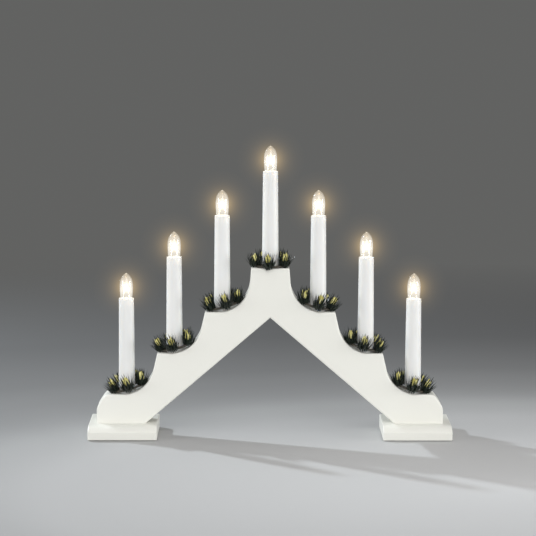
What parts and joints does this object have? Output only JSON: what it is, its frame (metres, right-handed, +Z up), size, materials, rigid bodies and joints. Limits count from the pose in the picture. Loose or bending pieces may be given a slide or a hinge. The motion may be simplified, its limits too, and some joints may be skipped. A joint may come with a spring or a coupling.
{
  "type": "candle arch",
  "caption": "electric candle arch of white painted wood with a stepped, scalloped top, clear screw lamps in tube candles, needle wreaths round them and two plinth feet",
  "frame": {"origin": "under the middle of the arch, on the surface that the foot pads stand on", "axes": "+X along the arch to the viewer's right, +Y from front to back, +Z up; the candles stand along X, and the front is -Y"},
  "size_m": [0.39, 0.07, 0.3135],
  "materials": {
    "board_paint": "satin off-white paint on wood fibre board",
    "foot_paint": "satin off-white paint on wood fibre board",
    "pad_rubber": "matt dark soft pad",
    "screw_steel": "zinc plated",
    "grommet_plastic": "white moulded",
    "wire_insulation": "white insulated hook-up wire",
    "staple_steel": "bright drawn wire",
    "candle_plastic": "satin moulded white",
    "socket_plastic": "white moulded heat resistant",
    "socket_brass": "bright pressed brass",
    "lamp_glass": "clear blown glass",
    "cap_brass": "rolled screw cap",
    "contact_solder": "dull solder",
    "filament_wire": "drawn wire",
    "ring_backing": "brown moulded ring with a golden edge",
    "needle_foil": "glossy dark green foil needles"
  },
  "bodies": {
    "arch": {"arch_board": "board_paint", "foot_left": "foot_paint", "foot_right": "foot_paint", "foot_pads": "pad_rubber", "foot_screws": "screw_steel", "cable_grommet": "grommet_plastic", "wiring_loom": "wire_insulation", "wire_staples": "staple_steel", "lamp_sockets": "socket_plastic", "socket_shells": "socket_brass", "socket_contacts": "socket_brass", "candle_tube_1": "candle_plastic", "candle_tube_2": "candle_plastic", "candle_tube_3": "candle_plastic", "candle_tube_4": "candle_plastic", "candle_tube_5": "candle_plastic", "candle_tube_6": "candle_plastic", "candle_tube_7": "candle_plastic"},
    "lamp_travel_1": {"bulb_contact_1": "contact_solder"},
    "lamp_1": {"bulb_glass_1": "lamp_glass", "bulb_cap_1": "cap_brass", "bulb_filament_1": "filament_wire"},
    "wreath_1": {"candle_ring_1": "ring_backing", "ring_tufts_1": "needle_foil"},
    "lamp_travel_2": {"bulb_contact_2": "contact_solder"},
    "lamp_2": {"bulb_glass_2": "lamp_glass", "bulb_cap_2": "cap_brass", "bulb_filament_2": "filament_wire"},
    "wreath_2": {"candle_ring_2": "ring_backing", "ring_tufts_2": "needle_foil"},
    "lamp_travel_3": {"bulb_contact_3": "contact_solder"},
    "lamp_3": {"bulb_glass_3": "lamp_glass", "bulb_cap_3": "cap_brass", "bulb_filament_3": "filament_wire"},
    "wreath_3": {"candle_ring_3": "ring_backing", "ring_tufts_3": "needle_foil"},
    "lamp_travel_4": {"bulb_contact_4": "contact_solder"},
    "lamp_4": {"bulb_glass_4": "lamp_glass", "bulb_cap_4": "cap_brass", "bulb_filament_4": "filament_wire"},
    "wreath_4": {"candle_ring_4": "ring_backing", "ring_tufts_4": "needle_foil"},
    "lamp_travel_5": {"bulb_contact_5": "contact_solder"},
    "lamp_5": {"bulb_glass_5": "lamp_glass", "bulb_cap_5": "cap_brass", "bulb_filament_5": "filament_wire"},
    "wreath_5": {"candle_ring_5": "ring_backing", "ring_tufts_5": "needle_foil"},
    "lamp_travel_6": {"bulb_contact_6": "contact_solder"},
    "lamp_6": {"bulb_glass_6": "lamp_glass", "bulb_cap_6": "cap_brass", "bulb_filament_6": "filament_wire"},
    "wreath_6": {"candle_ring_6": "ring_backing", "ring_tufts_6": "needle_foil"},
    "lamp_travel_7": {"bulb_contact_7": "contact_solder"},
    "lamp_7": {"bulb_glass_7": "lamp_glass", "bulb_cap_7": "cap_brass", "bulb_filament_7": "filament_wire"},
    "wreath_7": {"candle_ring_7": "ring_backing", "ring_tufts_7": "needle_foil"}
  },
  "joints": [
    {"name": "lamp_lift_1", "type": "slide", "parent": "arch", "child": "lamp_travel_1", "axis": [0, 0, 1], "range_m": [0, 0.00725]},
    {"name": "lamp_turn_1", "type": "hinge", "parent": "lamp_travel_1", "child": "lamp_1", "pos_m": [-0.1545, 0, 0.1491], "axis": [0, 0, 1], "range_deg": [0, 1440]},
    {"name": "wreath_lift_1", "type": "slide", "parent": "arch", "child": "wreath_1", "axis": [0, 0, 1], "range_m": [0, 0.14]},
    {"name": "lamp_lift_2", "type": "slide", "parent": "arch", "child": "lamp_travel_2", "axis": [0, 0, 1], "range_m": [0, 0.00725]},
    {"name": "lamp_turn_2", "type": "hinge", "parent": "lamp_travel_2", "child": "lamp_2", "pos_m": [-0.103, 0, 0.1939], "axis": [0, 0, 1], "range_deg": [0, 1440]},
    {"name": "wreath_lift_2", "type": "slide", "parent": "arch", "child": "wreath_2", "axis": [0, 0, 1], "range_m": [0, 0.14]},
    {"name": "lamp_lift_3", "type": "slide", "parent": "arch", "child": "lamp_travel_3", "axis": [0, 0, 1], "range_m": [0, 0.00725]},
    {"name": "lamp_turn_3", "type": "hinge", "parent": "lamp_travel_3", "child": "lamp_3", "pos_m": [-0.0515, 0, 0.2387], "axis": [0, 0, 1], "range_deg": [0, 1440]},
    {"name": "wreath_lift_3", "type": "slide", "parent": "arch", "child": "wreath_3", "axis": [0, 0, 1], "range_m": [0, 0.14]},
    {"name": "lamp_lift_4", "type": "slide", "parent": "arch", "child": "lamp_travel_4", "axis": [0, 0, 1], "range_m": [0, 0.00725]},
    {"name": "lamp_turn_4", "type": "hinge", "parent": "lamp_travel_4", "child": "lamp_4", "pos_m": [0, 0, 0.2862], "axis": [0, 0, 1], "range_deg": [0, 1440]},
    {"name": "wreath_lift_4", "type": "slide", "parent": "arch", "child": "wreath_4", "axis": [0, 0, 1], "range_m": [0, 0.14]},
    {"name": "lamp_lift_5", "type": "slide", "parent": "arch", "child": "lamp_travel_5", "axis": [0, 0, 1], "range_m": [0, 0.00725]},
    {"name": "lamp_turn_5", "type": "hinge", "parent": "lamp_travel_5", "child": "lamp_5", "pos_m": [0.0515, 0, 0.2387], "axis": [0, 0, 1], "range_deg": [0, 1440]},
    {"name": "wreath_lift_5", "type": "slide", "parent": "arch", "child": "wreath_5", "axis": [0, 0, 1], "range_m": [0, 0.14]},
    {"name": "lamp_lift_6", "type": "slide", "parent": "arch", "child": "lamp_travel_6", "axis": [0, 0, 1], "range_m": [0, 0.00725]},
    {"name": "lamp_turn_6", "type": "hinge", "parent": "lamp_travel_6", "child": "lamp_6", "pos_m": [0.103, 0, 0.1939], "axis": [0, 0, 1], "range_deg": [0, 1440]},
    {"name": "wreath_lift_6", "type": "slide", "parent": "arch", "child": "wreath_6", "axis": [0, 0, 1], "range_m": [0, 0.14]},
    {"name": "lamp_lift_7", "type": "slide", "parent": "arch", "child": "lamp_travel_7", "axis": [0, 0, 1], "range_m": [0, 0.00725]},
    {"name": "lamp_turn_7", "type": "hinge", "parent": "lamp_travel_7", "child": "lamp_7", "pos_m": [0.1545, 0, 0.1491], "axis": [0, 0, 1], "range_deg": [0, 1440]},
    {"name": "wreath_lift_7", "type": "slide", "parent": "arch", "child": "wreath_7", "axis": [0, 0, 1], "range_m": [0, 0.14]}
  ],
  "couplings": [
    {"joint": "lamp_lift_1", "follows": "lamp_turn_1", "m_per_rad": 0.00028807},
    {"joint": "lamp_lift_2", "follows": "lamp_turn_2", "m_per_rad": 0.00028807},
    {"joint": "lamp_lift_3", "follows": "lamp_turn_3", "m_per_rad": 0.00028807},
    {"joint": "lamp_lift_4", "follows": "lamp_turn_4", "m_per_rad": 0.00028807},
    {"joint": "lamp_lift_5", "follows": "lamp_turn_5", "m_per_rad": 0.00028807},
    {"joint": "lamp_lift_6", "follows": "lamp_turn_6", "m_per_rad": 0.00028807},
    {"joint": "lamp_lift_7", "follows": "lamp_turn_7", "m_per_rad": 0.00028807}
  ]
}
